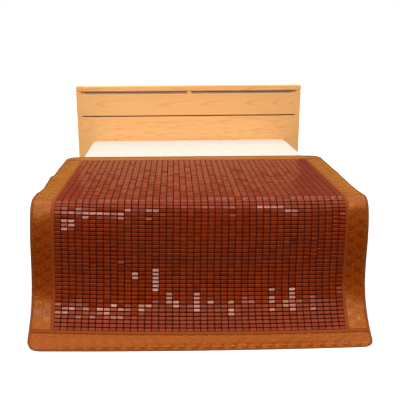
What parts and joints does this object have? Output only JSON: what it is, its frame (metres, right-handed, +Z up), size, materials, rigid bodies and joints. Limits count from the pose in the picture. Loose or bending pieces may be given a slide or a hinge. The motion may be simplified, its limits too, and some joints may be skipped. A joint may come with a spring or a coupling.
{
  "type": "bamboo tile mat on a bed",
  "caption": "Bamboo tile sleeping mat with a satin brocade border, laid on a plain bed and falling over its foot to the floor.",
  "frame": {"origin": "on the floor, below the middle of the bounding box", "axes": "+Z up, +Y along the bed towards the headboard, +X to the right seen from the foot"},
  "size_m": [1.8172, 2.2634, 1.1149],
  "materials": {
    "bamboo_tile": "glossy carbonised bamboo, dark red-brown",
    "satin_strip": "plain satin, salmon brown",
    "brocade": "satin brocade, orange gold",
    "edge_binding": "dark brown satin binding",
    "ticking": "off-white mattress cloth",
    "honey_wood": "satin lacquered light wood",
    "shaded_wood": "matt grey-brown wood"
  },
  "bodies": {
    "root": {"tile_field": "bamboo_tile", "strip_left": "satin_strip", "strip_right": "satin_strip", "strip_foot": "satin_strip", "strip_head": "satin_strip", "border_left": "brocade", "border_right": "brocade", "border_foot": "brocade", "border_head": "brocade", "binding_left": "edge_binding", "binding_right": "edge_binding", "binding_foot": "edge_binding", "binding_head": "edge_binding", "mattress": "ticking", "deck": "honey_wood", "foot_rail": "honey_wood", "side_rail_left": "honey_wood", "side_rail_right": "honey_wood", "foot_leg_left": "honey_wood", "foot_leg_right": "honey_wood", "top_rail": "honey_wood", "upper_panel": "honey_wood", "lower_panel": "honey_wood", "slot_spacer_left": "honey_wood", "slot_spacer_middle": "honey_wood", "slot_spacer_right": "honey_wood", "gap_spacer_left": "honey_wood", "gap_spacer_right": "honey_wood", "head_post_left": "honey_wood", "head_post_right": "honey_wood", "slot_back": "shaded_wood"}
  },
  "joints": []
}
